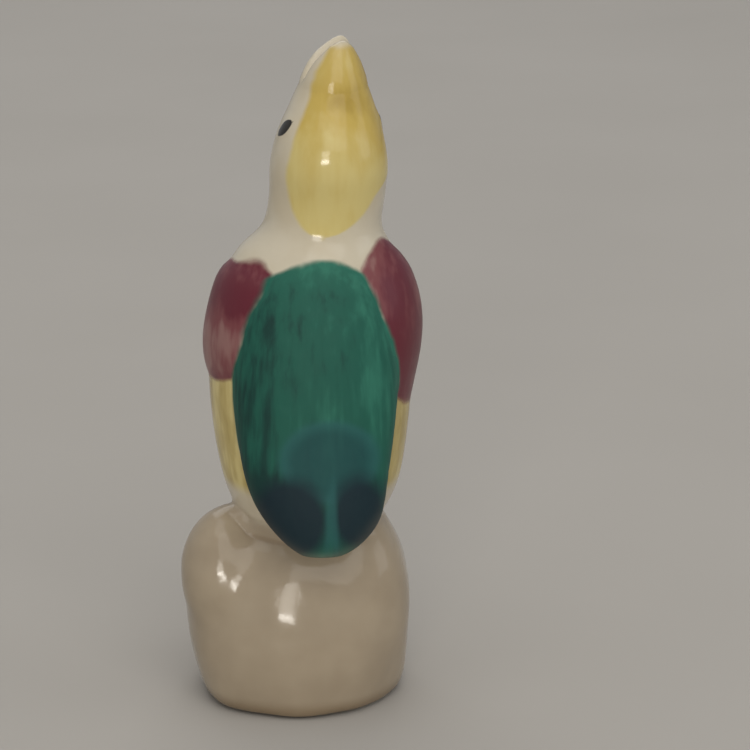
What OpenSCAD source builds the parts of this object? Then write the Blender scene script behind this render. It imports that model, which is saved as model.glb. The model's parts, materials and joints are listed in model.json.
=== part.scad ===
// A hollow glazed earthenware rattle: a bird with its head thrown back, sitting on a boulder.
// The bird faces +Y and +Z is up. The origin is the centre of the foot ring's underside.
// Sizes are in millimetres and angles in degrees. An angle around a section runs from +X
// towards +Y, so -90 is the middle of the back and 180 is the bird's left side.

/* [Shell] */
// Thickness of the earthenware wall
wall = 3; // [2.4:0.1:3.4]
// Facets round each full section
seg = 48; // [32:4:64]
// Depth of the boulder's uneven surface, as a share of its radius
rough = 0.016; // [0:0.002:0.03]

/* [Head] */
// Turn of the head from the back's middle, towards the bird's left
head_turn = 20; // [0:1:30]
// Angle between the crown's middle and each eye
eye_angle = 83; // [70:1:90]
// Height of the eyes
eye_z = 86.9; // [84:0.1:88]
// Length of each eye spot
eye_l = 3.8; // [3:0.1:4.6]
// Width of each eye spot
eye_w = 2; // [1.6:0.1:2.6]
// Rise of each eye spot towards the crown
eye_tilt = 40; // [0:5:60]
// Width of the open beak between its two tips
gape = 4; // [2:0.1:5]
// Lean of the open mouth towards the throat
lean = 6; // [0:1:12]

/* [Wings] */
// Height that the wings stand out of the body
wing_rise = 1.1; // [0.6:0.1:1.6]

/* [Foot] */
// Outer radius of the foot ring and its disc
foot_r = 12.2; // [11:0.1:12.2]
// Width of the foot ring's unglazed face
foot_w = 2.4; // [1.6:0.1:3]
// Depth of the recess inside the foot ring
recess = 0.9; // [0.6:0.1:1.2]
// Height of the chamber's floor
floor_z = 3.4; // [3:0.1:4]
// Radius of the filling hole
hole_r = 6; // [5:0.1:6]

/* [Rattle] */
// Radius of the largest pellet
pellet_r = 2.1; // [1.6:0.05:2.1]
// Radius of the ring in which the pellets lie at rest
pellet_ring = 9; // [8.6:0.1:9]
// Length of the cork
cork_l = 7.6; // [6:0.1:9]

/* [Hidden] */
pellets = 9;
fit = 0.06; // radial play of the cork in its hole
gap = 0.3; // free space under each pellet
fine = 4; // sections for each row of a station table
over = 1; // how far a cutting body runs past what it cuts
blunt = 0.75; // the shield's outer arc: 1 is half an ellipse, and less is boxier

// Station tables: height, centre x, centre y, half width, half depth.
boulder_rows = [
    [0.3, -0.3, 0, 14.4, 14.2], [1.3, -0.4, 0, 15.1, 14.9], [4, -0.5, 0, 15.9, 15.5],
    [9, -0.5, 0, 16.75, 15.9], [15, -0.45, 0, 17.05, 15.4], [20.8, -0.1, 0, 16.2, 14.5],
    [25, 0.1, 0.2, 14.2, 12.9], [27.95, 0.3, 0.5, 11.3, 10.4], [29.6, 0.8, 0.8, 6.5, 6.4]
];
bird_rows = [
    [24, 1.5, 1, 8, 8], [28, 1.5, 1, 10.8, 10.4], [33, 1.6, 1, 13.1, 12.4],
    [40, 1.5, 1, 14.4, 13.6], [48, 1.5, 1, 15.1, 14], [55, 1.9, 0.8, 15.3, 13.6],
    [60.5, 2.25, 0.6, 14.6, 12.4], [65, 2.35, 0.5, 13.25, 10.9], [68.5, 2.4, 0.6, 11.35, 9.2],
    [72, 3.3, 0.9, 8.75, 7.95], [76.5, 4.1, 1, 8.5, 8.2], [81, 4.4, 0.8, 8.65, 8.8],
    [85.5, 4.55, 1, 7.8, 8.2], [89.5, 4.85, 1.8, 6.25, 6.5], [92.5, 5, 2.3, 4.9, 5],
    [94, 5.2, 2.5, 3, 3]
];
beak_rows = [
    [88, 5, 1.8, 4, 4.4], [92, 5.05, 2.3, 5.05, 5.5], [94.8, 5.2, 2.6, 4.3, 5.1],
    [96.8, 5.5, 2.9, 3.3, 4.4], [98.4, 6.05, 3.2, 2, 3.7], [99.3, 6.5, 3.3, 0.9, 2.6]
];
neck_u = 7; // the row of bird_rows at which the neck is luted to the torso

// The folded back and tail: height, centre x, half width, depth of its rim, bulge, thickness.
shield_rows = [
    [68.8, 3.2, 2.6, -7.8, 0.7, 8], [67.4, 2.9, 5.6, -7, 2.6, 8], [65, 2.5, 8.6, -6.4, 4.8, 8],
    [61, 2.4, 10.5, -6.2, 6.8, 8], [55.4, 2.4, 11.8, -6.2, 8.3, 9], [49.5, 2.5, 12, -7, 8.5, 9],
    [43.7, 2.5, 11.5, -8.2, 7.9, 8], [38.1, 2.5, 10.7, -10, 6.9, 7],
    [34.2, 2.9, 9.8, -11.5, 5.9, 5], [31.4, 3.4, 8.6, -12.6, 5, 3.8],
    [29.2, 3.6, 6.9, -13.6, 4, 3.2], [27.5, 3.6, 4.9, -14.6, 2.8, 2.4],
    [26.4, 3.4, 2.8, -15.4, 1.6, 1.4]
];
shield_split = 7; // the row of shield_rows at which the tail is luted to the mantle

earthenware = [0.9, 0.87, 0.8];
maroon = [0.45, 0.12, 0.17];
teal = [0.08, 0.36, 0.31];
yellow = [0.9, 0.74, 0.3];

// Catmull-Rom value between rows b and c at fraction f, for numbers or lists.
function between(a, b, c, d, f) =
    b + (c - a) * f / 2 + (2 * a - 5 * b + 4 * c - d) * f * f / 2
    + (3 * b - a - 3 * c + d) * f * f * f / 2;

// The station of a table at place u, where 0 is its first row.
function station(rows, u) =
    let (last = len(rows) - 1, i = min(floor(u), last - 1))
    between(rows[max(i - 1, 0)], rows[i], rows[i + 1], rows[min(i + 2, last)], u - i);

// Share by which a boulder's radius swells at an angle and a height.
function lumps(angle, z, depth) =
    depth * (cos(3 * angle + 5 * z + 40) + 0.7 * cos(5 * angle - 8 * z) + 0.4 * cos(8 * angle + 11 * z));

// A point on a section, outside it by grow.
function on_section(row, angle, grow, depth) =
    let (swell = 1 + lumps(angle, row[0], depth))
    [row[1] + (row[3] + grow) * swell * cos(angle), row[2] + (row[4] + grow) * swell * sin(angle), row[0]];

// A closed body through rings of points that all have the same count, listed upwards.
module skin(rings) {
    n = len(rings[0]);
    top = len(rings) - 1;
    polyhedron(
        points = [for (ring = rings) each ring],
        faces = concat(
            [[for (k = [0:n - 1]) k]],
            [[for (k = [n - 1:-1:0]) top * n + k]],
            [for (i = [0:top - 1], k = [0:n - 1])
                each [[i * n + k, (i + 1) * n + k, i * n + (k + 1) % n],
                    [(i + 1) * n + k, (i + 1) * n + (k + 1) % n, i * n + (k + 1) % n]]]
        )
    );
}

// A body through a station table from place u0 to u1, with fine sections for each row.
module loft(rows, u0, u1, fine, grow = 0, depth = 0, facets = seg) {
    steps = ceil((u1 - u0) * fine);
    skin([for (i = [0:steps])
        let (row = station(rows, u0 + (u1 - u0) * i / steps))
        [for (k = [0:facets - 1]) on_section(row, 360 * k / facets, grow, depth)]]);
}

// A raised leaf on the bird's surface. It lies between two places of bird_rows, about an angle
// that runs from mid[0] at its foot to mid[1] at its top, and spread is its widest half angle.
// A large taper makes the leaf blunt, and a small ease lets its foot sink gently into the body.
module leaf(u0, u1, mid, spread, taper, ease, rise) {
    cols = 16;
    steps = 15;
    sunk = 0.5;
    function across(t) = spread * pow(1 - pow(abs(t), taper), 0.8) + 1.5;
    function place(i, s, grow) =
        let (t = 2 * i / steps - 1, u = u0 + (u1 - u0) * i / steps)
        on_section(station(bird_rows, u), mid[0] + (mid[1] - mid[0]) * i / steps + s * across(t), grow, 0);
    function height(i, s) =
        let (t = 2 * i / steps - 1)
        (rise + sunk) * (1 - pow(abs(s), 5)) * (1 - pow(abs(t), t < 0 ? ease : 5)) - sunk;
    skin([for (i = [0:steps]) concat(
        [for (k = [0:cols]) let (s = 2 * k / cols - 1) place(i, s, height(i, s))],
        [for (k = [cols:-1:0]) place(i, 2 * k / cols - 1, -2 * sunk)]
    )]);
}

// A crescent section of the shield: its outer arc, then its inner one.
function crescent(row, cols) =
    let (inner = max(0, row[4] - row[5]))
    concat(
        [for (k = [0:cols]) let (a = 180 + 180 * k / cols)
            [row[1] + row[2] * cos(a), row[3] - row[4] * pow(abs(sin(a)), blunt), row[0]]],
        [for (k = [5:-1:1]) let (a = 180 + 180 * k / 6)
            [row[1] + row[2] * cos(a), row[3] + inner * sin(a) + 0.3, row[0]]]
    );

// The shield from place u1 down to u0 of its table, listed upwards.
module shield(u0, u1, steps) {
    skin([for (i = [0:steps]) crescent(station(shield_rows, u1 + (u0 - u1) * i / steps), 28)]);
}

// One faceted solid of several organic bodies.
module moulded() {
    resize([0, 0, 0]) children();
}

module bird(grow = 0) {
    loft(bird_rows, 0, len(bird_rows) - 1, fine, grow);
}

module whole_boulder() {
    loft(boulder_rows, 0, len(boulder_rows) - 1, fine, 0, rough);
}

// The hollow inside the boulder, from its floor to its roof.
module boulder_hollow() {
    floor_u = 1.75; // the place in boulder_rows at floor_z
    roof_u = 6.5;
    loft(boulder_rows, floor_u, roof_u, 2, -wall, 0, 28);
}

// The hollow inside the bird, up into its head.
module bird_hollow() {
    crown_u = 13;
    loft(bird_rows, 0, crown_u, 2, -wall, 0, 28);
}

module boulder() {
    color(earthenware) moulded() difference() {
        whole_boulder();
        bird();
        boulder_hollow();
        translate([0, 0, -over]) cylinder(h = floor_z + over, r = foot_r / cos(180 / 96), $fn = 96);
    }
}

// A rounded lobe on the boulder's left, towards the back.
module side_stone() {
    color(earthenware) moulded() difference() {
        translate([-10.9, -4.2, 19.4]) scale([7.2, 8.2, 10.7]) sphere(1, $fn = 40);
        whole_boulder();
        bird();
    }
}

// The disc that closes the boulder, with its foot ring and filling hole.
module base_disc() {
    color([0.82, 0.74, 0.62]) difference() {
        cylinder(h = floor_z, r = foot_r, $fn = 96);
        translate([0, 0, -over]) cylinder(h = recess + over, r = foot_r - foot_w, $fn = 96);
        translate([0, 0, -over]) cylinder(h = floor_z + 2 * over, r = hole_r, $fn = 64);
    }
}

module torso() {
    color(earthenware) moulded() difference() {
        loft(bird_rows, 0, neck_u, fine);
        boulder_hollow();
        bird_hollow();
    }
}

module head_and_neck() {
    color(earthenware) moulded() difference() {
        loft(bird_rows, neck_u, len(bird_rows) - 1, fine);
        bird_hollow();
    }
}

// Puts the origin at the hinge of the mouth, with +Y to the throat and +Z along the open mouth.
module at_hinge() {
    translate([5.3, 2.4, 93.2]) rotate([-lean, 0, head_turn]) children();
}

// The open mouth: a wedge that widens from the hinge to the two tips.
module mouth() {
    reach = 12;
    half = gape / 2 * reach / 6;
    at_hinge() rotate([90, 0, 90]) translate([0, 0, -10]) linear_extrude(20)
        polygon([[-0.1, -0.4], [0.1, -0.4], [half, reach], [-half, reach]]);
}

// One half of the beak: side is -1 for the upper one, at the back, and 1 for the lower one.
module beak(side, paint) {
    color(paint) moulded() difference() {
        intersection() {
            loft(beak_rows, 0, len(beak_rows) - 1, 3, 0, 0, 36);
            at_hinge() translate([-10, side < 0 ? -20 : 0, -10]) cube([20, 20, 30]);
        }
        bird();
        mouth();
    }
}

// What the wings leave free for the folded back.
module whole_mantle() {
    shield(0, shield_split, 20);
}

module left_wing() {
    color(maroon) moulded() difference() {
        leaf(4.1, 7.75, [-171, -152], 56, 4, 5, wing_rise);
        bird();
        whole_mantle();
    }
}

module right_wing() {
    color(maroon) moulded() difference() {
        leaf(3.3, 8.78, [-9, -24], 50, 2, 2.2, wing_rise);
        bird();
        whole_mantle();
    }
}

module mantle() {
    color(teal) moulded() difference() {
        whole_mantle();
        bird();
    }
}

module tail() {
    color(teal) moulded() difference() {
        shield(shield_split, len(shield_rows) - 1, 12);
        bird();
        whole_boulder();
    }
}

// Three toes that grip the boulder's front edge; side is -1 for the bird's left.
module foot(side) {
    color(yellow) moulded() difference() {
        for (toe = [-1:1]) {
            ankle = [1.5 + side * 5, 10, 29];
            knuckle = [1.5 + side * 5 + toe * 1.5, 13.2, 26.3];
            claw = [1.5 + side * 5 + toe * 2.7, 14.7 - abs(toe) * 0.5, 23.4];
            hull() {
                translate(ankle) sphere(1.5, $fn = 20);
                translate(knuckle) sphere(1.3, $fn = 20);
            }
            hull() {
                translate(knuckle) sphere(1.3, $fn = 20);
                translate(claw) sphere(0.9, $fn = 20);
            }
        }
        whole_boulder();
        bird();
    }
}

// An oval eye spot on the head; side is -1 for the bird's left.
module eye(side) {
    row = station(bird_rows, 12.35);
    around = -90 + head_turn + side * eye_angle;
    color("black") moulded() difference() {
        intersection() {
            bird(0.25);
            translate([row[1], row[2], eye_z]) rotate([90, 0, around + 90])
                rotate([0, 0, -side * eye_tilt]) scale([eye_l, eye_w, 1])
                    cylinder(h = 20, r = 0.5, $fn = 30);
        }
        bird();
    }
}

// A cork with its edges eased, pushed up into the filling hole.
module stopper() {
    ease = 0.5;
    r = hole_r - fit;
    bottom = recess / 2;
    color([0.72, 0.52, 0.34]) rotate_extrude($fn = 64)
        polygon([
            [0, bottom], [r - ease, bottom], [r, bottom + ease],
            [r, bottom + cork_l - ease], [r - ease, bottom + cork_l], [0, bottom + cork_l]
        ]);
}

// A fired clay pellet at its place on the chamber's floor.
module pellet(number) {
    r = pellet_r * (1 - 0.06 * (number % 3));
    angle = 360 * (number - 0.5) / pellets;
    color([0.75, 0.5, 0.36])
        translate([pellet_ring * cos(angle), pellet_ring * sin(angle), floor_z + gap + r])
            sphere(r, $fn = 32);
}

boulder();
side_stone();
base_disc();
torso();
head_and_neck();
beak(-1, yellow);  // upper_beak
beak(1, earthenware);  // lower_beak
left_wing();
right_wing();
mantle();
tail();
foot(-1);  // left_foot
foot(1);  // right_foot
eye(-1);  // left_eye
eye(1);  // right_eye
stopper();
for (number = [1:pellets])
    pellet(number);
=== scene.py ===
"""The looks of a small hand-painted ceramic bird with its head thrown back, on a boulder.

The moulded pieces of the shell are fused into one skin, softened as a thick glaze softens them, given
their relief and their paint, and cut apart again, so that no seam shows between two pieces.
"""
import json
import math

import bmesh
import bpy
import numpy as np
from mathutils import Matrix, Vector, noise
from mathutils.bvhtree import BVHTree


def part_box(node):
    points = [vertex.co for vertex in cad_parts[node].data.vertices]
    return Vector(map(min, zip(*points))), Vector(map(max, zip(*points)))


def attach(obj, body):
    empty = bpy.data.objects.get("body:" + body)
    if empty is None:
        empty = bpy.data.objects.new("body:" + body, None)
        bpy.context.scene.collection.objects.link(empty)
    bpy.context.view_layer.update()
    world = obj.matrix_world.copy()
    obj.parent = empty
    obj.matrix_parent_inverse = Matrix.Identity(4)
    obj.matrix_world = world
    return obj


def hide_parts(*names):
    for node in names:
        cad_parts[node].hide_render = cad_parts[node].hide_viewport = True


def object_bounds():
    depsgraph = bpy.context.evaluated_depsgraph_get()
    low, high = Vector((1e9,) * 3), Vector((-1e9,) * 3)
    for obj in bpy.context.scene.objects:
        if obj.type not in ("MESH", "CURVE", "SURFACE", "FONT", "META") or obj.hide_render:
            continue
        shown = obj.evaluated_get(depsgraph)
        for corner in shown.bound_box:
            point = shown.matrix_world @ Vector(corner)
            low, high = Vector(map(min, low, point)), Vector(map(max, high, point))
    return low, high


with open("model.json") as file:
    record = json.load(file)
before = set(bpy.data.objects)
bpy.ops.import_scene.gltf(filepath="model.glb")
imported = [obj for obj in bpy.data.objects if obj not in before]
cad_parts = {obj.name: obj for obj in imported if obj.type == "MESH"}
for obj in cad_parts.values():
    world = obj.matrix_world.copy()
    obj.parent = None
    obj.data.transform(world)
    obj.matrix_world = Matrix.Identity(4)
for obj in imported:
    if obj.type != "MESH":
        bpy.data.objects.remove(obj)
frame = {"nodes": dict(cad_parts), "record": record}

CAD_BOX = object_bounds()
MM = 0.001
NODES = frame["nodes"]
BODIES = frame["record"]["behaviour"]["bodies"]
SHELL = BODIES["shell"]
MOULDED = [name for name in SHELL if name != "base_disc"]
CORE = ["boulder", "torso", "head_and_neck"]  # the pieces that every other one sits on
STONES = ["boulder", "side_stone"]


def middle_of(node):
    """The middle of a CAD node's box."""
    low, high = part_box(node)
    return (low + high) / 2


# The skin
VOXEL = 0.35 * MM  # size of the skin's faces
REACH = 4.0  # mm, the farthest that a distance to a node is told apart
SOFTENING = 14  # how often the skin is averaged: the glaze's roundness
MELTING = 70  # how often the boulder is averaged, which melts its lobe into it
LEAN = 1.9  # mm that the top of the boulder's back leans in
WALL = {"boulder": 1.1, "torso": 2.8, "head_and_neck": 2.8, "mantle": 2.8}  # mm
THIN_WALL = 0.9  # mm, for every other piece

# Heights in mm, places in mm and angles in degrees that the paint is laid out by
NECK = 71.9  # where the yellow crown starts
EYE_LEVEL = 84.6
BEAK_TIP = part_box("upper_beak")[1].z / MM
TAIL_X = (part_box("tail")[0].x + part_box("tail")[1].x) / 2 / MM
TAIL_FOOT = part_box("tail")[0].z / MM
BETWEEN_EYES = middle_of("right_eye") - middle_of("left_eye")
HEAD_TURN = math.degrees(math.atan2(BETWEEN_EYES.y, BETWEEN_EYES.x))

# The picture, in metres and degrees
AIM = Vector((0.0111, 0, 0.0492))  # what the camera and the lamps look at
CAMERA_DISTANCE = 0.42
CAMERA_ELEVATION = 17
VIEW_WIDTH = 0.1111  # what the picture spans at the bird
FLOOR_RADIUS = 3
FLOOR_SIDES = 64


# ---------------------------------------------------------------- geometry in arrays

def array_of(items, name, width, kind=float):
    """An attribute of a mesh's items, such as their positions, as an array."""
    flat = np.empty(len(items) * width, kind)
    items.foreach_get(name, flat)
    return flat.reshape(-1, width) if width > 1 else flat


def fused_skin():
    """Positions and four-sided faces of one skin round all the moulded pieces and the closed base."""
    whole = bmesh.new()
    for name in MOULDED:
        whole.from_mesh(NODES[name].data)
    base = bmesh.new()
    base.from_mesh(NODES["base_disc"].data)
    hull = bmesh.ops.convex_hull(base, input=base.verts)
    bmesh.ops.delete(base, geom=list({*hull["geom_interior"], *hull["geom_unused"]}), context="VERTS")
    closed_base = bpy.data.meshes.new("closed_base")
    base.to_mesh(closed_base)
    whole.from_mesh(closed_base)
    bmesh.ops.remove_doubles(whole, verts=whole.verts, dist=1e-6)
    mesh = bpy.data.meshes.new("fused")
    whole.to_mesh(mesh)
    lump = bpy.data.objects.new("fused", mesh)
    bpy.context.scene.collection.objects.link(lump)
    remesh = lump.modifiers.new("remesh", "REMESH")
    remesh.mode = "VOXEL"
    remesh.voxel_size = VOXEL
    depsgraph = bpy.context.evaluated_depsgraph_get()
    skin = bpy.data.meshes.new_from_object(lump.evaluated_get(depsgraph))
    bpy.data.objects.remove(lump)
    points = array_of(skin.vertices, "co", 3)
    faces = array_of(skin.loops, "vertex_index", 1, int).reshape(-1, 4)
    return points, faces


def sides_of(faces):
    """The two ends of every side of every face."""
    return np.concatenate([np.stack([faces[:, k], faces[:, (k + 1) % 4]], 1) for k in range(4)])


def edges_of(faces):
    """Each pair of neighbours once."""
    return np.unique(np.sort(sides_of(faces), axis=1), axis=0)


def averaged(values, edges, times):
    """Values at the points, each moved halfway to its neighbours' mean some number of times."""
    ends = np.concatenate([edges, edges[:, ::-1]])
    count = len(values)
    degree = np.bincount(ends[:, 0], minlength=count)
    columns = values.reshape(count, -1)
    for _ in range(times):
        sums = [np.bincount(ends[:, 0], column[ends[:, 1]], count) for column in columns.T]
        mean = np.stack(sums, 1) / degree[:, None]
        columns = (columns + mean) / 2
    return columns.reshape(values.shape)


def normals_of(points, faces):
    """The unit normal at each point."""
    a, b, c, d = (points[faces[:, k]] for k in range(4))
    flat = np.cross(c - a, d - b)
    total = np.zeros_like(points)
    for k in range(4):
        for axis in range(3):
            total[:, axis] += np.bincount(faces[:, k], flat[:, axis], len(points))
    return total / np.linalg.norm(total, axis=1)[:, None]


def distance_to(name, points):
    """Each point's distance to a CAD node's surface, in mm, and no more than REACH."""
    low, high = (np.array(corner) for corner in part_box(name))
    near = np.all((points > low - REACH * MM) & (points < high + REACH * MM), axis=1)
    mesh = NODES[name].data
    tree = BVHTree.FromPolygons([v.co for v in mesh.vertices], [p.vertices for p in mesh.polygons])
    result = np.full(len(points), REACH)
    result[near] = [tree.find_nearest(p)[3] / MM for p in points[near]]
    return np.minimum(result, REACH)


def wander(points, size, seed):
    """Smooth noise from -1 to 1 at each point, with lumps of this size in mm."""
    shift = Vector((seed * 7.3, seed * 3.1, seed * 5.7))
    scale = 1 / (size * MM)
    return np.array([noise.noise(Vector(p) * scale + shift) for p in points])


def ramp(value, start, end):
    """0 below start, 1 above end, and a smooth rise between them."""
    t = np.clip((value - start) / (end - start), 0, 1)
    return t * t * (3 - 2 * t)


# ---------------------------------------------------------------- the shape and its measures

class Skin:
    """The fused skin: positions in metres, faces, and one array in mm for each measure or field."""

    def __init__(self):
        self.points, self.faces = fused_skin()
        self.edges = edges_of(self.faces)
        raw = self.points
        self.near = {name: averaged(distance_to(name, raw), self.edges, 2) for name in SHELL}
        self.points = averaged(raw, self.edges, SOFTENING)
        self.normals = normals_of(self.points, self.faces)
        self.measure()
        self.field = {}

    def measure(self):
        """Height, and the angle and distance round the middle of the section at that height."""
        x, y, z = (self.points / MM).T
        core = np.minimum.reduce([self.near[name] for name in CORE]) < 0.5
        levels = np.arange(0, z.max() + 1, 1.0)
        middles = []
        for level in levels:
            ring = core & (np.abs(z - level) < 1.2)
            if ring.sum() < 20:  # too few points for a section, so the one below stands in
                middles.append(middles[-1])
                continue
            middles.append([(v[ring].min() + v[ring].max()) / 2 for v in (x, y)])
        middles = np.array(middles)
        mid_x, mid_y = (np.interp(z, levels, middles[:, k]) for k in (0, 1))
        self.x, self.y, self.z = x, y, z
        self.turn = np.degrees(np.arctan2(x - mid_x, mid_y - y))  # 0 at the back, + to the bird's right
        self.radius = np.hypot(x - mid_x, y - mid_y)

    def inside(self, names):
        """A field in mm that is above 0 on some nodes and below 0 on their neighbours."""
        own = np.minimum.reduce([self.near[name] for name in names])
        rest = np.minimum.reduce([self.near[name] for name in SHELL if name not in names])
        return averaged(rest - own, self.edges, 8)

    def almond(self, node):
        """A field in mm that is above 0 in a pointed oval as long and as wide as a CAD node."""
        corners = array_of(NODES[node].data.vertices, "co", 3) / MM
        middle = (corners.min(0) + corners.max(0)) / 2
        axes = np.linalg.svd(corners - middle, full_matrices=False)[2]
        half = np.abs((corners - middle) @ axes.T).max(0)
        along, across, deep = np.abs((self.points / MM - middle) @ axes.T).T
        oval = (1 - across / half[1] - (along / half[0]) ** 2) * half[1]
        return np.where(deep < 2.5, oval, -1.0)

    def relief(self, amount):
        """Moves the skin out along its normals by an amount in mm."""
        self.points = self.points + self.normals * (amount * MM)[:, None]
        self.normals = normals_of(self.points, self.faces)


def sculpt(skin):
    """Melts the boulder's lobe into it and gives every surface the unevenness of hand work."""
    stone = ramp(skin.inside(STONES), 0.1, 2.0)
    melted = averaged(skin.points, skin.edges, MELTING)
    share = 0.9 * stone * ramp(skin.z, 3, 7)
    skin.points = skin.points + (melted - skin.points) * share[:, None]
    skin.normals = normals_of(skin.points, skin.faces)
    lean = LEAN * ramp(skin.z, 6, 26) * ramp(80 - np.abs(skin.turn), 0, 60)
    lumps = wander(skin.points, 9, 1) + 0.4 * wander(skin.points, 4, 2)
    hand = wander(skin.points, 12, 3)
    skin.relief(stone * (0.2 * lumps - lean) + 0.1 * hand)


def bell(distance, width):
    """1 at no distance, falling smoothly to almost nothing at twice the width."""
    return np.exp(-(distance / width) ** 2)


def paint(skin):
    """Lays out where each colour goes, as fields in mm, and how strong it is, from 0 to 1."""
    paint_pieces(skin)
    paint_crown(skin)
    paint_beak(skin)
    paint_flanks(skin)
    paint_tail(skin)
    tone_teal_and_maroon(skin)


def paint_pieces(skin):
    """The colours that keep to their own moulded pieces."""
    skin.field["teal"] = skin.inside(["mantle", "tail"])
    near_nape = np.exp(-((skin.x + 5) / 3) ** 2 - ((skin.z - 69.2) / 2) ** 2)
    skin.field["maroon"] = skin.inside(["left_wing", "right_wing"]) + 1.8 * near_nape
    skin.field["foot"] = skin.inside(["left_foot", "right_foot"])
    skin.field["stone"] = skin.inside(STONES)
    skin.field["eye"] = np.maximum(skin.almond("left_eye"), skin.almond("right_eye"))


def paint_crown(skin):
    """The yellow crown, and how strong its yellow is.

    It is a long drop that starts on the nape, runs on round the right cheek, and ends under the beak's
    tip. Its yellow is pale below, olive at the saddle under the beak as a painted shade in that hollow,
    and deep on the right cheek.
    """
    rise = np.clip((skin.z - NECK) / (EYE_LEVEL - NECK), 0, 1)
    from_middle = skin.turn - HEAD_TURN * (0.25 + 0.75 * rise ** 2)
    half = (51 + 9 * rise) * (1 - (1 - rise) ** 2.5) ** 0.5
    left = half - 5 * bell(skin.z - 91, 2) - 26 * ramp(skin.z, 93, BEAK_TIP)
    right = half + 45 * ramp(skin.z, 77, 83)
    across = np.radians(np.where(from_middle < 0, left, right) - np.abs(from_middle)) * skin.radius
    skin.field["crown"] = np.minimum(np.minimum(across, BEAK_TIP - 0.9 - skin.z), skin.z - NECK)

    # The saddle's darker olive is a painted shade in the hollow under the beak.
    saddle = bell(skin.z - 91.5, 2.6) * ramp(45 - np.abs(skin.turn - HEAD_TURN), 0, 40)
    cheek = ramp(skin.turn - HEAD_TURN, 5, 50) * ramp(skin.z, 80, 86)
    skin.field["crown_yellow_and_shade"] = 0.12 + 0.3 * ramp(skin.z, 80, 92) + 0.4 * saddle + 0.35 * cheek


def paint_beak(skin):
    """The inside of the open beak: what faces the other half of it, above the corner of the mouth."""
    upper, lower = (np.array(middle_of(name)) / MM for name in ("upper_beak", "lower_beak"))
    forward = (lower - upper) * (1, 1, 0)
    forward = forward / np.linalg.norm(forward)
    sideways = np.array([-forward[1], forward[0], 0])
    offset = skin.points / MM - (upper + lower) / 2
    facing = -np.tanh(2 * offset @ forward) * (skin.normals @ forward)
    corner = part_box("lower_beak")[0].z / MM + 1.5
    skin.field["gape"] = np.minimum.reduce([
        2 * (facing - 0.3),
        skin.z - corner,
        BEAK_TIP - 3.0 - skin.z,
        1.6 - np.abs(offset @ sideways),
    ])


def paint_flanks(skin):
    """Yellow flanks that meet over the belly, short of the throat and of the boulder."""
    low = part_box("torso")[0].z / MM + 8.5
    top = 56.5 - 2.5 * np.cos(np.radians(skin.turn))
    skin.field["flank"] = np.minimum(top - skin.z, skin.z - low)


def paint_tail(skin):
    """The tail's blue patch, its two dark lobes and the pale line between them."""
    right = skin.x - TAIL_X
    up = skin.z - TAIL_FOOT

    def oval(x, z, wide, high):
        return (1 - np.hypot((right - x) / wide, (up - z) / high)) * min(wide, high)

    skin.field["patch"] = oval(2.1, 14.6, 7.2, 6.0)
    skin.field["lobe"] = np.maximum(oval(-3.6, 5.9, 5.2, 5.9), oval(6.3, 6.8, 3.8, 5.2))
    skin.field["vein"] = 0.55 - np.abs(right - 2.4) + 0.05 * (12 - up)


def tone_teal_and_maroon(skin):
    """How dark the teal is, and how thin the maroon.

    The teal is darkened on the left and low down as a painted shade, and lightened along the top, in the
    middle and on the upper right as a painted sheen. The left wing is pale below its dark shoulder, partly
    as a wash and partly as a painted sheen; the right one is pale along its inner edge.
    """
    left = ramp(TAIL_X - 2 - skin.x, -1, 6)
    painted_shade_low_left = left * ramp(46 - skin.z, 0, 12)
    middle = np.exp(-((skin.x - TAIL_X - 2) / 4) ** 2 - ((skin.z - 47) / 7) ** 2)
    upper_right = ramp(skin.x - TAIL_X, 3, 9) * ramp(skin.z, 40, 52)
    painted_sheen = 0.3 * ramp(skin.z, 64, 70) + 0.2 * middle + 0.28 * upper_right
    # The shade field: a painted shade on the left and low down, less where a painted sheen lies.
    skin.field["shade"] = 0.52 + 0.22 * left + 0.2 * painted_shade_low_left - painted_sheen

    shoulder = bell(skin.z - 63.5, 3.2)
    # Pale below the shoulder on the left wing: partly a wash, partly a painted sheen.
    left_wash_and_sheen = 0.25 + 0.55 * ramp(62 - skin.z, 0, 6) - 0.35 * ramp(52.5 - skin.z, 0, 2.5)
    inner = 0.6 * ramp(14.2 - skin.x, 0.5, 4.0) * ramp(skin.z, 50, 62)
    skin.field["thin"] = np.where(skin.x < TAIL_X, left_wash_and_sheen - 0.3 * shoulder, 0.05 + inner)


def find_hollows(skin):
    """How far each point lies below the skin round it, and how high it stands, in mm."""
    level = averaged(skin.points, skin.edges, SOFTENING)
    skin.field["hollow"] = ((level - skin.points) * skin.normals).sum(1) / MM
    skin.field["height"] = skin.points[:, 2] / MM


# ---------------------------------------------------------------- the pieces

def face_nodes(skin):
    """The index in SHELL of the node that each face belongs to."""
    near = np.stack([skin.near[name] for name in SHELL])[:, skin.faces].mean(2)
    owner = near.argmin(0)
    owner[near.min(0) > 0.9 * REACH] = SHELL.index("base_disc")  # the skin across the filling hole
    return owner


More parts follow.
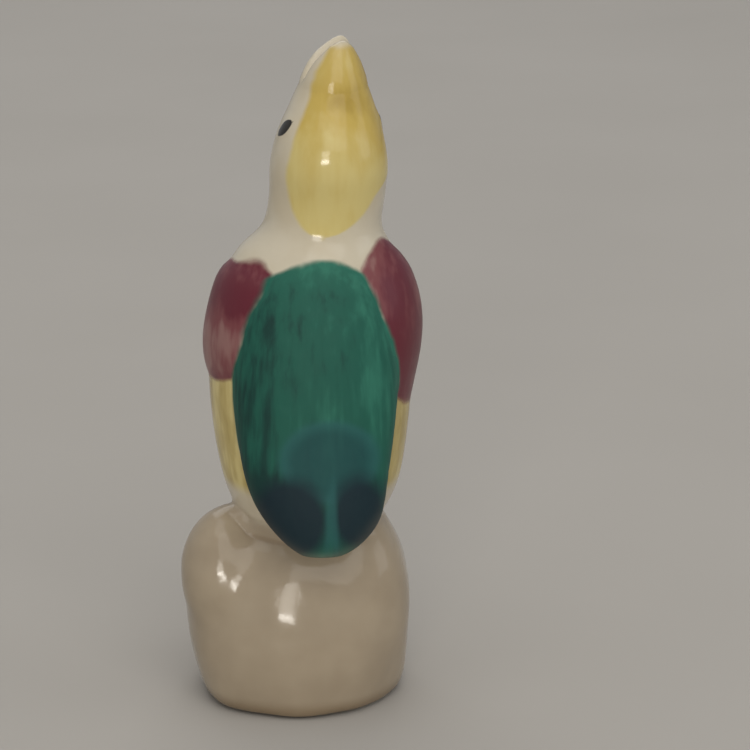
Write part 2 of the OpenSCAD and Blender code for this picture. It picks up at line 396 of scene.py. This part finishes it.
def even_seams(skin, owner):
    """Evens out the seams between nodes, which otherwise follow the faces in small steps.

    Each field moves with its point, so that the edges of the paint stay where they were.
    """
    sides = np.sort(sides_of(skin.faces), axis=1)
    order = np.lexsort(sides.T)  # puts the two faces that share a side next to each other
    sides = sides[order]
    owners = np.tile(owner, 4)[order]
    seam = sides[0::2][owners[0::2] != owners[1::2]]
    ends = np.concatenate([seam, seam[:, ::-1]])
    count = len(skin.points)
    on_one_seam = np.bincount(ends[:, 0], minlength=count) == 2
    columns = np.column_stack([skin.points, *skin.field.values()])
    for _ in range(6):
        sums = [np.bincount(ends[:, 0], column[ends[:, 1]], count) for column in columns.T]
        mean = np.stack(sums, 1)[on_one_seam] / 2
        columns[on_one_seam] = (columns[on_one_seam] + mean) / 2
    skin.points = columns[:, :3]
    for name, values in zip(skin.field, columns[:, 3:].T):
        skin.field[name] = values


def keep_in_cad_box(skin):
    """Holds the skin inside the CAD model's box."""
    low, high = (np.array(corner) for corner in CAD_BOX)
    skin.points = np.clip(skin.points, low, high)
    skin.normals = normals_of(skin.points, skin.faces)


def wall_depth(skin, owner):
    """How far the inside of each point's wall lies behind it, in metres.

    Where the piece is thin, its wall is less than half of what lies behind the point.
    """
    tree = BVHTree.FromPolygons(skin.points.tolist(), skin.faces.tolist())
    depth = np.full(len(skin.points), THIN_WALL * MM)
    for name, thickness in WALL.items():
        depth[skin.faces[owner == SHELL.index(name)]] = thickness * MM
    for i, (point, normal) in enumerate(zip(skin.points, skin.normals)):
        start = Vector(point) - Vector(normal) * 1e-6
        hit = tree.ray_cast(start, -Vector(normal), depth[i] * 2.5)[3]
        if hit is not None:
            depth[i] = min(depth[i], hit * 0.4)
    return averaged(depth, skin.edges, 3)


def cut_piece(skin, owner, depth, name):
    """One node's share of the skin as a closed wall, shaded as part of the whole."""
    faces = skin.faces[owner == SHELL.index(name)]
    used, corners = np.unique(faces, return_inverse=True)
    faces = corners.reshape(-1, 4)
    count = len(used)
    outer = skin.points[used]
    inner = outer - skin.normals[used] * depth[used][:, None]
    sides = sides_of(faces)
    _, first, uses = np.unique(np.sort(sides, axis=1), axis=0, return_index=True, return_counts=True)
    rim = sides[first[uses == 1]]
    walls = np.stack([rim[:, 1], rim[:, 0], rim[:, 0] + count, rim[:, 1] + count], 1)
    faces = np.concatenate([faces, faces[:, ::-1] + count, walls])
    mesh = bpy.data.meshes.new(name + "_glazed")
    mesh.from_pydata(np.concatenate([outer, inner]).tolist(), [], faces.tolist())
    mesh.shade_smooth()
    normals = np.concatenate([skin.normals[used], -skin.normals[used]])
    mesh.normals_split_custom_set_from_vertices(normals.tolist())
    for field, values in skin.field.items():
        data = mesh.attributes.new(field, "FLOAT", "POINT").data
        data.foreach_set("value", np.concatenate([values[used]] * 2).astype(np.float32))
    return add_piece(name, mesh)


def add_piece(node, mesh):
    """Shows a mesh in place of a CAD node, riding on that node's body."""
    piece = bpy.data.objects.new(mesh.name, mesh)
    bpy.context.scene.collection.objects.link(piece)
    body = next(name for name, members in BODIES.items() if node in members)
    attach(piece, body)
    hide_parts(node)
    return piece


def keep_node(name, material):
    """Shows a CAD node's own mesh with a material."""
    NODES[name].data.materials.clear()
    NODES[name].data.materials.append(material)


# ---------------------------------------------------------------- materials

CREAM = (0.60, 0.54, 0.42)
CREAM_WARM = (0.56, 0.49, 0.36)
# The boulder's tones: partly a greyer glaze, partly a painted shade.
STONE_GREY_AND_SHADE = (0.385, 0.315, 0.225)
STONE_DARK = (0.335, 0.27, 0.19)
TAN = (0.22, 0.155, 0.09)
YELLOW_THIN = (0.64, 0.53, 0.21)
YELLOW = (0.55, 0.40, 0.10)
OCHRE = (0.40, 0.275, 0.055)
# The pale maroon is partly a wash and partly a painted sheen.
MAROON_PALE_AND_SHEEN = (0.27, 0.135, 0.125)
MAROON = (0.185, 0.05, 0.056)
MAROON_DEEP = (0.125, 0.016, 0.028)
# The pale teal also paints sheen and the deep teal paints shade, through the teal's shade field.
TEAL_PALE_AND_SHEEN = (0.024, 0.165, 0.112)
TEAL = (0.007, 0.096, 0.066)
TEAL_DEEP = (0.0005, 0.034, 0.028)
BLUE_THIN = (0.016, 0.105, 0.102)
BLUE = (0.005, 0.058, 0.062)
BLUE_DEEP = (0.0002, 0.013, 0.022)
FLANK = (0.49, 0.38, 0.12)
FLANK_DEEP = (0.38, 0.28, 0.065)
MOUTH = (0.33, 0.12, 0.085)
BLACK = (0.008, 0.007, 0.006)


class Shader:
    """A material, with short calls that add its nodes. Sizes are in mm."""

    def __init__(self, name):
        self.material = bpy.data.materials.new(name)
        self.material.use_nodes = True
        self.tree = self.material.node_tree
        self.surface = self.tree.nodes["Principled BSDF"]
        place = self.put("ShaderNodeTexCoord").outputs["Object"]
        in_mm = self.put("ShaderNodeVectorMath", [place, (1 / MM,) * 3], operation="MULTIPLY")
        self.place = in_mm.outputs[0]

    def put(self, kind, inputs=(), **settings):
        """Adds a node; its inputs are values or other nodes' outputs."""
        node = self.tree.nodes.new(kind)
        for key, value in settings.items():
            setattr(node, key, value)
        named = inputs.items() if isinstance(inputs, dict) else enumerate(inputs)
        for key, value in named:
            self.feed(node.inputs[key], value)
        return node

    def feed(self, socket, value):
        """Gives an input a value, a colour or another node's output."""
        if isinstance(value, bpy.types.NodeSocket):
            self.tree.links.new(value, socket)
        elif socket.type == "RGBA":
            socket.default_value = (*value, 1.0)
        else:
            socket.default_value = value

    def maths(self, operation, *values):
        """The outcome of a maths node."""
        return self.put("ShaderNodeMath", values, operation=operation).outputs[0]

    def field(self, name):
        """One of the skin's fields."""
        return self.put("ShaderNodeAttribute", attribute_name=name).outputs["Fac"]

    def spread(self, value, low, high):
        """0 below low, 1 above high, and a smooth rise between them."""
        node = self.put("ShaderNodeMapRange", [value, low, high], interpolation_type="SMOOTHSTEP")
        return node.outputs[0]

    def noise(self, size, detail=2.0, roughness=0.5, stretch=(1, 1, 1), shift=0.0):
        """Noise from 0 to 1 with lumps of a size in mm, drawn out along the axes by stretch."""
        scale = [1 / (size * s) for s in stretch]
        vector = self.put(
            "ShaderNodeVectorMath", [self.place, scale, (shift,) * 3], operation="MULTIPLY_ADD").outputs[0]
        inputs = {"Vector": vector, "Scale": 1.0, "Detail": detail, "Roughness": roughness}
        return self.put("ShaderNodeTexNoise", inputs).outputs[0]

    def blend(self, factor, first, second):
        """The first colour where factor is 0, the second where it is 1."""
        node = self.put("ShaderNodeMix", data_type="RGBA")  # its colour sockets are 6, 7 and 2
        self.feed(node.inputs[0], factor)
        self.feed(node.inputs[6], first)
        self.feed(node.inputs[7], second)
        return node.outputs[2]

    def blends(self, factor, *colours):
        """Several colours, evenly spaced along factor from 0 to 1."""
        steps = len(colours) - 1
        result = colours[0]
        for k in range(steps):
            result = self.blend(self.spread(factor, k / steps, (k + 1) / steps), result, colours[k + 1])
        return result

    def bump(self, height, depth):
        """Raises the surface by height, from 0 to 1, times a depth in mm."""
        inputs = {"Strength": 1.0, "Distance": depth * MM, "Height": height}
        self.feed(self.surface.inputs["Normal"], self.put("ShaderNodeBump", inputs).outputs[0])

    def finish(self, **sockets):
        """Feeds the surface's own inputs and gives the material."""
        for name, value in sockets.items():
            self.feed(self.surface.inputs[name.replace("_", " ")], value)
        return self.material


def painted_glaze():
    """Cream earthenware with loosely brushed underglaze colours, under a thick clear glaze."""
    look = Shader("painted_glaze")
    wobble = look.maths("MULTIPLY_ADD", look.noise(3.5, 2), 0.6, -0.3)
    hairs = look.maths("MULTIPLY_ADD", look.noise(0.6, 3, stretch=(1, 1, 4)), 0.1, -0.05)
    edge = look.maths("ADD", wobble, hairs)

    def brushed(name, soft=0.3, grow=0.0):
        """1 inside a field's edge and 0 outside it, with the waver of a brush."""
        return look.spread(look.maths("ADD", look.maths("ADD", look.field(name), grow), edge), -soft, soft)

    def toned(field, *parts):
        """A tone from a field, with a share of each noise laid over it."""
        total = look.field(field)
        for texture, share in parts:
            total = look.maths("ADD", total, look.maths("MULTIPLY_ADD", texture, share, -share / 2))
        return total

    streaks = look.noise(1.1, 3, 0.55, stretch=(1, 1, 12))
    washes = look.noise(3.2, 2, stretch=(1, 1, 2.5), shift=9)
    strokes = look.noise(1.5, 2, 0.55, stretch=(1, 2, 5), shift=4)
    patches = look.noise(6.5, 2, shift=2)
    pool_and_shade = look.spread(look.field("hollow"), 0.01, 0.16)
    ridge = look.spread(look.field("hollow"), -0.02, -0.12)

    # The cream body; the boulder's stone colour, partly a greyer glaze and partly a painted shade; tan in
    # hollows and creases, where glaze pools and partly as a painted shade; and darker tan towards the
    # bottom edge.
    cream = look.blend(look.spread(patches, 0.35, 0.7), CREAM, CREAM_WARM)
    # The boulder's stone colour, partly a painted shade.
    stone = look.blend(look.spread(patches, 0.2, 0.8), STONE_GREY_AND_SHADE, STONE_DARK)
    stony = look.spread(look.field("stone"), -1.6, 1.0)
    base = look.blend(stony, cream, stone)
    # Hollows and creases turn tan: pooled glaze, and partly a painted shade.
    base = look.blend(look.maths("MULTIPLY", pool_and_shade, 0.45), base, TAN)
    # Darker tan towards the bottom edge.
    near_floor = look.spread(look.field("height"), 3.4, 0.3)
    base = look.blend(near_floor, base, TAN)

    # The yellows of the flanks, the feet and the crown.
    lemon_streaks = look.maths("MULTIPLY", streaks, 0.25)
    lemon_tone = look.maths("ADD", look.maths("MULTIPLY", washes, 0.75), lemon_streaks)
    lemon = look.blends(look.spread(lemon_tone, 0.3, 0.7), YELLOW_THIN, FLANK, FLANK_DEEP)
    base = look.blend(look.maths("MULTIPLY", brushed("flank", 1.4), 0.9), base, lemon)
    base = look.blend(brushed("foot", 0.2), base, look.blend(streaks, YELLOW, OCHRE))
    # The crown's yellow, darker at the saddle as a painted shade.
    crown_yellow_and_shade = toned("crown_yellow_and_shade", (washes, 0.6), (streaks, 0.2))
    crown = look.blends(crown_yellow_and_shade, YELLOW_THIN, YELLOW, OCHRE)
    base = look.blend(brushed("crown", 0.6), base, crown)

    # The maroon of the wings, paler where its wash is thin; on the left wing's lower part that pale maroon
    # is partly a painted sheen.
    thin = toned("thin", (strokes, 1.2), (washes, 1.3), (streaks, 0.3))
    painted_wine = brushed("maroon", 0.35, 0.2)
    base = look.blend(painted_wine, base, look.blends(thin, MAROON_DEEP, MAROON, MAROON_PALE_AND_SHEEN))

    # The teal of the back and the tail, with the tail's blues.
    # The shade field darkens the teal as a painted shade on the left and low down, and pales it as a
    # painted sheen along the top and upper right.
    shade = toned("shade", (streaks, 0.8), (washes, 0.9))
    teal = look.blends(shade, TEAL_PALE_AND_SHEEN, TEAL, TEAL_DEEP)
    thin_edge = look.spread(look.field("teal"), 1.2, 0.1)
    teal = look.blend(look.maths("MULTIPLY", thin_edge, 0.3), teal, TEAL_PALE_AND_SHEEN)
    blue = look.blends(look.maths("MULTIPLY", look.field("patch"), 0.45), BLUE_THIN, BLUE)
    teal = look.blend(look.maths("MULTIPLY", brushed("patch", 0.7), 0.8), teal, blue)
    lobe = brushed("lobe", 1.4, 0.3)
    teal = look.blend(look.maths("MULTIPLY", lobe, 0.97), teal, BLUE_DEEP)
    vein = look.maths("MULTIPLY", brushed("vein", 0.45), look.spread(look.field("lobe"), -2.5, -0.5))
    teal = look.blend(look.maths("MULTIPLY", vein, 0.6), teal, BLUE_THIN)
    painted_teal = brushed("teal", 0.32, 0.1)
    base = look.blend(painted_teal, base, teal)

    # The inside of the beak, the eyes, and the ridges, where the glaze runs thin.
    base = look.blend(look.maths("MULTIPLY", brushed("gape", 0.4), 0.85), base, MOUTH)
    base = look.blend(look.spread(look.field("eye"), -0.12, 0.12), base, BLACK)
    base = look.blend(look.maths("MULTIPLY", ridge, 0.15), base, CREAM)

    # The glaze's own surface, rougher where the paint lies thick.
    waves = look.noise(2.6, 2, shift=5)
    height = look.maths("MULTIPLY_ADD", streaks, 0.2, waves)
    look.bump(height, 0.035)
    rough = look.maths("MULTIPLY_ADD", look.noise(1.4, 4, shift=12), 0.10, 0.08)
    for where, more in ((painted_wine, 0.24), (painted_teal, 0.56)):
        rough = look.maths("MULTIPLY_ADD", where, more, rough)
    return look.finish(Base_Color=base, Roughness=rough, IOR=1.42)


def bare_clay():
    """The unglazed foot: buff biscuit ware with sand in it."""
    look = Shader("bare_clay")
    grain = look.noise(0.25, 4, 0.7)
    colour = look.blends(look.noise(3, 3), (0.52, 0.42, 0.30), (0.62, 0.53, 0.40), (0.56, 0.45, 0.33))
    colour = look.blend(look.spread(grain, 0.62, 0.72), colour, (0.32, 0.22, 0.14))
    look.bump(grain, 0.06)
    return look.finish(Base_Color=colour, Roughness=look.maths("MULTIPLY_ADD", grain, 0.2, 0.72))


def fired_clay():
    """The pellets: rolled by hand and fired without a glaze."""
    look = Shader("fired_clay")
    grain = look.noise(0.2, 4, 0.7)
    colour = look.blends(look.noise(1.6, 3), (0.30, 0.13, 0.07), (0.44, 0.22, 0.12), (0.50, 0.30, 0.19))
    look.bump(grain, 0.06)
    return look.finish(Base_Color=colour, Roughness=look.maths("MULTIPLY_ADD", grain, 0.2, 0.75))


def cork():
    """Bark cork with dark pores."""
    look = Shader("cork")
    pores = look.spread(look.noise(0.9, 3, 0.6, stretch=(1, 1, 0.5)), 0.60, 0.70)
    cells = look.noise(0.22, 3, 0.6)
    bark = look.noise(2.2, 3, shift=3)
    colour = look.blends(bark, (0.36, 0.20, 0.10), (0.50, 0.31, 0.17), (0.58, 0.40, 0.24))
    colour = look.blend(look.maths("MULTIPLY", cells, 0.35), colour, (0.26, 0.14, 0.07))
    colour = look.blend(pores, colour, (0.07, 0.035, 0.02))
    look.bump(look.maths("SUBTRACT", cells, pores), 0.12)
    return look.finish(Base_Color=colour, Roughness=look.maths("MULTIPLY_ADD", cells, 0.15, 0.78))


# ---------------------------------------------------------------- the setting

def light(name, azimuth, elevation, distance, size, power, tint=(1, 1, 1)):
    """A rectangular lamp that looks at the bird's middle; azimuth 0 is behind the camera."""
    lamp = bpy.data.lights.new(name, "AREA")
    lamp.shape = "RECTANGLE"
    lamp.size, lamp.size_y = size
    lamp.energy = power
    lamp.color = tint
    turn, rise = math.radians(azimuth), math.radians(elevation)
    away = Vector((math.sin(turn) * math.cos(rise), -math.cos(turn) * math.cos(rise), math.sin(rise)))
    thing = bpy.data.objects.new(name, lamp)
    bpy.context.scene.collection.objects.link(thing)
    thing.location = AIM + away * distance
    thing.rotation_euler = (-away).to_track_quat("-Z", "Y").to_euler()


def set_camera():
    """A camera behind the bird and a little above it."""
    data = bpy.data.cameras.new("camera")
    data.sensor_width = 36
    data.lens = data.sensor_width * CAMERA_DISTANCE / VIEW_WIDTH
    data.clip_start, data.clip_end = 0.01, 20
    camera = bpy.data.objects.new("camera", data)
    bpy.context.scene.collection.objects.link(camera)
    rise = math.radians(CAMERA_ELEVATION)
    back = Vector((0, -math.cos(rise), math.sin(rise)))
    camera.location = AIM + back * CAMERA_DISTANCE
    camera.rotation_euler = (-back).to_track_quat("-Z", "Y").to_euler()
    bpy.context.scene.camera = camera


def set_floor():
    """A plain pale floor without any shine."""
    mesh = bpy.data.meshes.new("floor")
    angles = np.linspace(0, 2 * math.pi, FLOOR_SIDES + 1)[:-1]
    corners = [(FLOOR_RADIUS * math.cos(a), FLOOR_RADIUS * math.sin(a), 0) for a in angles]
    mesh.from_pydata(corners, [], [range(FLOOR_SIDES)])
    floor = bpy.data.objects.new("floor", mesh)
    bpy.context.scene.collection.objects.link(floor)
    look = Shader("floor")
    colour = look.blend(look.noise(90, 3), (0.43, 0.405, 0.37), (0.47, 0.445, 0.41))
    mesh.materials.append(look.finish(Base_Color=colour, Roughness=1.0, Specular_IOR_Level=0.0))


def set_world():
    """Even, faintly cool light from all round."""
    world = bpy.data.worlds.new("studio")
    world.use_nodes = True
    background = world.node_tree.nodes["Background"]
    background.inputs[0].default_value = (0.95, 0.97, 1.0, 1)
    background.inputs[1].default_value = 0.36
    bpy.context.scene.world = world


def set_lamps():
    """A bright low key with a dim window over it for the glints, and soft light from elsewhere."""
    warm, soft, cool = (1.0, 0.95, 0.87), (1.0, 0.97, 0.92), (0.95, 0.97, 1.0)
    light("key", -7, 6, distance=2.5, size=(0.62, 0.20), power=8.5, tint=warm)
    light("window", -7, 14, distance=2.5, size=(0.62, 0.55), power=6.5, tint=warm)
    light("fill", 15, 40, distance=1.2, size=(1.0, 0.8), power=3.4, tint=soft)
    light("top", -10, 75, distance=1.2, size=(0.9, 0.9), power=2.6, tint=soft)
    light("right", 80, 20, distance=1.0, size=(0.5, 0.6), power=0.9, tint=cool)
    light("back", 190, 50, distance=1.2, size=(1.0, 0.8), power=3.5)


# ---------------------------------------------------------------- the scene

set_camera()
set_floor()
set_world()
set_lamps()
bpy.context.scene.view_settings.view_transform = "Standard"

skin = Skin()
sculpt(skin)
paint(skin)
find_hollows(skin)
owner = face_nodes(skin)
even_seams(skin, owner)
keep_in_cad_box(skin)
depth = wall_depth(skin, owner)
glaze = painted_glaze()
for name in MOULDED:
    cut_piece(skin, owner, depth, name).data.materials.append(glaze)

keep_node("base_disc", bare_clay())
keep_node("stopper", cork())
clay = fired_clay()
for name in NODES:
    if name.startswith("pellet"):
        keep_node(name, clay)
